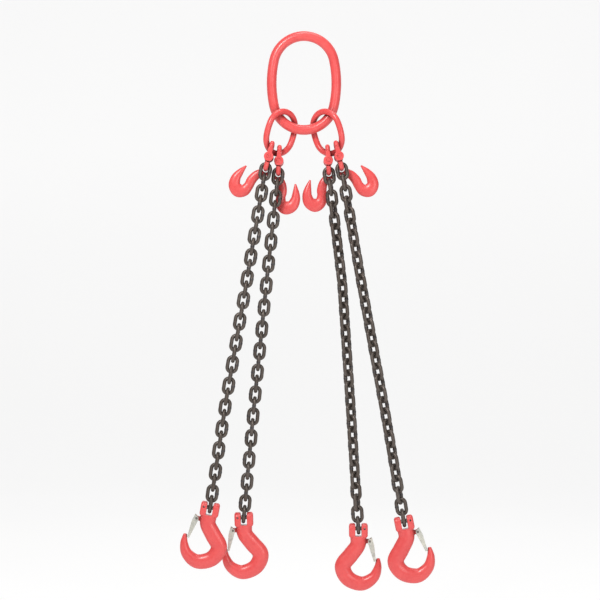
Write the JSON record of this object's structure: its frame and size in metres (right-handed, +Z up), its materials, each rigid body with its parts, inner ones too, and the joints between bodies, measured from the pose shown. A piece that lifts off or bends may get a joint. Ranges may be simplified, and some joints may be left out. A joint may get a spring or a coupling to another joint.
{
  "type": "chain sling",
  "caption": "Chain sling with a master link, sub-links, coupling links, grab hooks for shortening, welded chain legs and clevis sling hooks with sprung latches.",
  "frame": {"origin": "inner crown of the master link's top bow, where the crane hook bears", "axes": "+Z up along the hanging sling, +X across the legs towards legs three and four, +Y away from the front"},
  "size_m": [0.5345, 0.1112, 1.1857],
  "materials": {
    "red_paint": "glossy red paint on forged steel",
    "chain_steel": "dark oxide and oil on welded chain",
    "zinc_sheet": "zinc plated sheet",
    "pin_steel": "dull alloy steel pins",
    "spring_steel": "bright spring wire"
  },
  "bodies": {
    "master": {"master_link": "red_paint"},
    "sub_link_left": {"sub_link_left": "red_paint"},
    "sub_link_right": {"sub_link_right": "red_paint"},
    "coupling_1": {"coupling_upper_1": "red_paint", "coupling_pin_1": "red_paint", "coupling_sleeve_1": "pin_steel"},
    "coupling_foot_1": {"coupling_lower_1": "red_paint"},
    "grab_1": {"grab_hook_1": "red_paint"},
    "chain_top_1": {"chain_upper_1": "chain_steel"},
    "chain_mid_1": {"chain_middle_1": "chain_steel"},
    "chain_end_1": {"chain_lower_1": "chain_steel"},
    "hook_1": {"sling_hook_1": "red_paint", "clevis_pin_1": "pin_steel", "clevis_keeper_1": "pin_steel", "latch_pin_1": "pin_steel", "latch_spring_1": "spring_steel"},
    "latch_1": {"latch_1": "zinc_sheet"},
    "coupling_2": {"coupling_upper_2": "red_paint", "coupling_pin_2": "red_paint", "coupling_sleeve_2": "pin_steel"},
    "coupling_foot_2": {"coupling_lower_2": "red_paint"},
    "grab_2": {"grab_hook_2": "red_paint"},
    "chain_top_2": {"chain_upper_2": "chain_steel"},
    "chain_mid_2": {"chain_middle_2": "chain_steel"},
    "chain_end_2": {"chain_lower_2": "chain_steel"},
    "hook_2": {"sling_hook_2": "red_paint", "clevis_pin_2": "pin_steel", "clevis_keeper_2": "pin_steel", "latch_pin_2": "pin_steel", "latch_spring_2": "spring_steel"},
    "latch_2": {"latch_2": "zinc_sheet"},
    "coupling_3": {"coupling_upper_3": "red_paint", "coupling_pin_3": "red_paint", "coupling_sleeve_3": "pin_steel"},
    "coupling_foot_3": {"coupling_lower_3": "red_paint"},
    "grab_3": {"grab_hook_3": "red_paint"},
    "chain_top_3": {"chain_upper_3": "chain_steel"},
    "chain_mid_3": {"chain_middle_3": "chain_steel"},
    "chain_end_3": {"chain_lower_3": "chain_steel"},
    "hook_3": {"sling_hook_3": "red_paint", "clevis_pin_3": "pin_steel", "clevis_keeper_3": "pin_steel", "latch_pin_3": "pin_steel", "latch_spring_3": "spring_steel"},
    "latch_3": {"latch_3": "zinc_sheet"},
    "coupling_4": {"coupling_upper_4": "red_paint", "coupling_pin_4": "red_paint", "coupling_sleeve_4": "pin_steel"},
    "coupling_foot_4": {"coupling_lower_4": "red_paint"},
    "grab_4": {"grab_hook_4": "red_paint"},
    "chain_top_4": {"chain_upper_4": "chain_steel"},
    "chain_mid_4": {"chain_middle_4": "chain_steel"},
    "chain_end_4": {"chain_lower_4": "chain_steel"},
    "hook_4": {"sling_hook_4": "red_paint", "clevis_pin_4": "pin_steel", "clevis_keeper_4": "pin_steel", "latch_pin_4": "pin_steel", "latch_spring_4": "spring_steel"},
    "latch_4": {"latch_4": "zinc_sheet"}
  },
  "joints": [
    {"name": "sub_link_left_swing", "type": "hinge", "parent": "master", "child": "sub_link_left", "pos_m": [-0.0562, 0, -0.1561], "axis": [-0.5, 0, 0.866], "range_deg": [0, 25]},
    {"name": "sub_link_right_swing", "type": "hinge", "parent": "master", "child": "sub_link_right", "pos_m": [0.0562, 0, -0.1561], "axis": [-0.5, 0, -0.866], "range_deg": [0, 25]},
    {"name": "coupling_swing_1", "type": "hinge", "parent": "sub_link_left", "child": "coupling_1", "pos_m": [-0.07068, -0.01152, -0.23302], "axis": [1, 0, 0], "range_deg": [-5, 0]},
    {"name": "coupling_pin_turn_1", "type": "hinge", "parent": "coupling_1", "child": "coupling_foot_1", "pos_m": [-0.0744, -0.01152, -0.2469], "axis": [0, 1, 0], "range_deg": [0, 12]},
    {"name": "grab_hook_swing_1", "type": "hinge", "parent": "coupling_foot_1", "child": "grab_1", "pos_m": [-0.08113, -0.00092, -0.27201], "axis": [0, 1, 0], "range_deg": [0, 40]},
    {"name": "chain_seat_swing_1", "type": "hinge", "parent": "coupling_foot_1", "child": "chain_top_1", "pos_m": [-0.08113, -0.01152, -0.27201], "axis": [0, 1, 0], "range_deg": [0, 20]},
    {"name": "chain_bend_upper_1", "type": "hinge", "parent": "chain_top_1", "child": "chain_mid_1", "pos_m": [-0.11732, -0.02148, -0.48841], "axis": [0.9854, 0, -0.1702], "range_deg": [-12, 0]},
    {"name": "chain_bend_lower_1", "type": "hinge", "parent": "chain_mid_1", "child": "chain_end_1", "pos_m": [-0.16564, -0.02396, -0.76816], "axis": [-0.0015, 1, -0.0086], "range_deg": [0, 8]},
    {"name": "clevis_swing_1", "type": "hinge", "parent": "chain_end_1", "child": "hook_1", "pos_m": [-0.19765, -0.02588, -0.98571], "axis": [0.9848, 0, -0.1736], "range_deg": [-15, 5]},
    {"name": "latch_turn_1", "type": "hinge", "parent": "hook_1", "child": "latch_1", "pos_m": [-0.22597, -0.02588, -1.00813], "axis": [0, -1, 0], "range_deg": [0, 35], "stiffness_Nm_per_rad": 0.05, "springref_deg": -17.19},
    {"name": "coupling_swing_2", "type": "hinge", "parent": "sub_link_left", "child": "coupling_2", "pos_m": [-0.05239, 0.00473, -0.23817], "axis": [1, 0, 0], "range_deg": [0, 5]},
    {"name": "coupling_pin_turn_2", "type": "hinge", "parent": "coupling_2", "child": "coupling_foot_2", "pos_m": [-0.05327, 0.00473, -0.25497], "axis": [0, 1, 0], "range_deg": [0, 2]},
    {"name": "grab_hook_swing_2", "type": "hinge", "parent": "coupling_foot_2", "child": "grab_2", "pos_m": [-0.05463, 0.01533, -0.28094], "axis": [0, 1, 0], "range_deg": [0, 20]},
    {"name": "chain_seat_swing_2", "type": "hinge", "parent": "coupling_foot_2", "child": "chain_top_2", "pos_m": [-0.05463, 0.00473, -0.28094], "axis": [0, 1, 0], "range_deg": [0, 4]},
    {"name": "chain_bend_upper_2", "type": "hinge", "parent": "chain_top_2", "child": "chain_mid_2", "pos_m": [-0.07834, -0.00543, -0.50258], "axis": [0.9949, 0, -0.1011], "range_deg": [0, 12]},
    {"name": "chain_bend_lower_2", "type": "hinge", "parent": "chain_mid_2", "child": "chain_end_2", "pos_m": [-0.1074, 0.00461, -0.78868], "axis": [0.0035, 0.9994, 0.0347], "range_deg": [0, 4]},
    {"name": "clevis_swing_2", "type": "hinge", "parent": "chain_end_2", "child": "hook_2", "pos_m": [-0.12799, 0.01241, -1.01099], "axis": [0.9994, 0, 0.0349], "range_deg": [-5, 12]},
    {"name": "latch_turn_2", "type": "hinge", "parent": "hook_2", "child": "latch_2", "pos_m": [-0.15103, 0.01288, -1.03881], "axis": [0.0006, -0.9998, -0.0174], "range_deg": [0, 35], "stiffness_Nm_per_rad": 0.05, "springref_deg": -17.19},
    {"name": "coupling_swing_3", "type": "hinge", "parent": "sub_link_right", "child": "coupling_3", "pos_m": [0.05048, 0.00616, -0.23772], "axis": [1, 0, 0], "range_deg": [-5, 0]},
    {"name": "coupling_pin_turn_3", "type": "hinge", "parent": "coupling_3", "child": "coupling_foot_3", "pos_m": [0.05132, 0.00616, -0.2538], "axis": [0, -1, 0], "range_deg": [0, 2]},
    {"name": "grab_hook_swing_3", "type": "hinge", "parent": "coupling_foot_3", "child": "grab_3", "pos_m": [0.05268, 0.01676, -0.27976], "axis": [0, -1, 0], "range_deg": [0, 20]},
    {"name": "chain_seat_swing_3", "type": "hinge", "parent": "coupling_foot_3", "child": "chain_top_3", "pos_m": [0.05268, 0.00616, -0.27976], "axis": [0, -1, 0], "range_deg": [0, 4]},
    {"name": "chain_bend_upper_3", "type": "hinge", "parent": "chain_top_3", "child": "chain_mid_3", "pos_m": [0.08051, -0.00384, -0.50798], "axis": [0.7055, -0.7071, 0.0481], "range_deg": [0, 12]},
    {"name": "chain_bend_lower_3", "type": "hinge", "parent": "chain_mid_3", "child": "chain_end_3", "pos_m": [0.1006, -0.00384, -0.80274], "axis": [-0.7055, -0.7071, -0.0481], "range_deg": [0, 4]},
    {"name": "clevis_swing_3", "type": "hinge", "parent": "chain_end_3", "child": "hook_3", "pos_m": [0.11505, -0.00384, -1.03269], "axis": [1, 0, 0], "range_deg": [-5, 12]},
    {"name": "latch_turn_3", "type": "hinge", "parent": "hook_3", "child": "latch_3", "pos_m": [0.13905, -0.00384, -1.05969], "axis": [0, 1, 0], "range_deg": [0, 35], "stiffness_Nm_per_rad": 0.05, "springref_deg": -17.19},
    {"name": "coupling_swing_4", "type": "hinge", "parent": "sub_link_right", "child": "coupling_4", "pos_m": [0.07068, -0.01152, -0.23302], "axis": [1, 0, 0], "range_deg": [-5, 0]},
    {"name": "coupling_pin_turn_4", "type": "hinge", "parent": "coupling_4", "child": "coupling_foot_4", "pos_m": [0.07372, -0.01152, -0.24618], "axis": [0, -1, 0], "range_deg": [0, 12]},
    {"name": "grab_hook_swing_4", "type": "hinge", "parent": "coupling_foot_4", "child": "grab_4", "pos_m": [0.07956, -0.00092, -0.27151], "axis": [0, -1, 0], "range_deg": [0, 40]},
    {"name": "chain_seat_swing_4", "type": "hinge", "parent": "coupling_foot_4", "child": "chain_top_4", "pos_m": [0.07956, -0.01152, -0.27151], "axis": [0, -1, 0], "range_deg": [0, 20]},
    {"name": "chain_bend_upper_4", "type": "hinge", "parent": "chain_top_4", "child": "chain_mid_4", "pos_m": [0.11751, -0.03753, -0.49617], "axis": [0.6891, -0.7061, 0.1628], "range_deg": [0, 12]},
    {"name": "chain_bend_lower_4", "type": "hinge", "parent": "chain_mid_4", "child": "chain_end_4", "pos_m": [0.16997, -0.0529, -0.78484], "axis": [-0.7023, -0.7061, -0.09], "range_deg": [0, 8]},
    {"name": "clevis_swing_4", "type": "hinge", "parent": "chain_end_4", "child": "hook_4", "pos_m": [0.20806, -0.06285, -1.01033], "axis": [0.9816, 0, 0.1908], "range_deg": [-15, 5]},
    {"name": "latch_turn_4", "type": "hinge", "parent": "hook_4", "child": "latch_4", "pos_m": [0.23677, -0.06332, -1.03225], "axis": [0.0033, 0.9998, -0.0171], "range_deg": [0, 35], "stiffness_Nm_per_rad": 0.05, "springref_deg": -17.19}
  ]
}
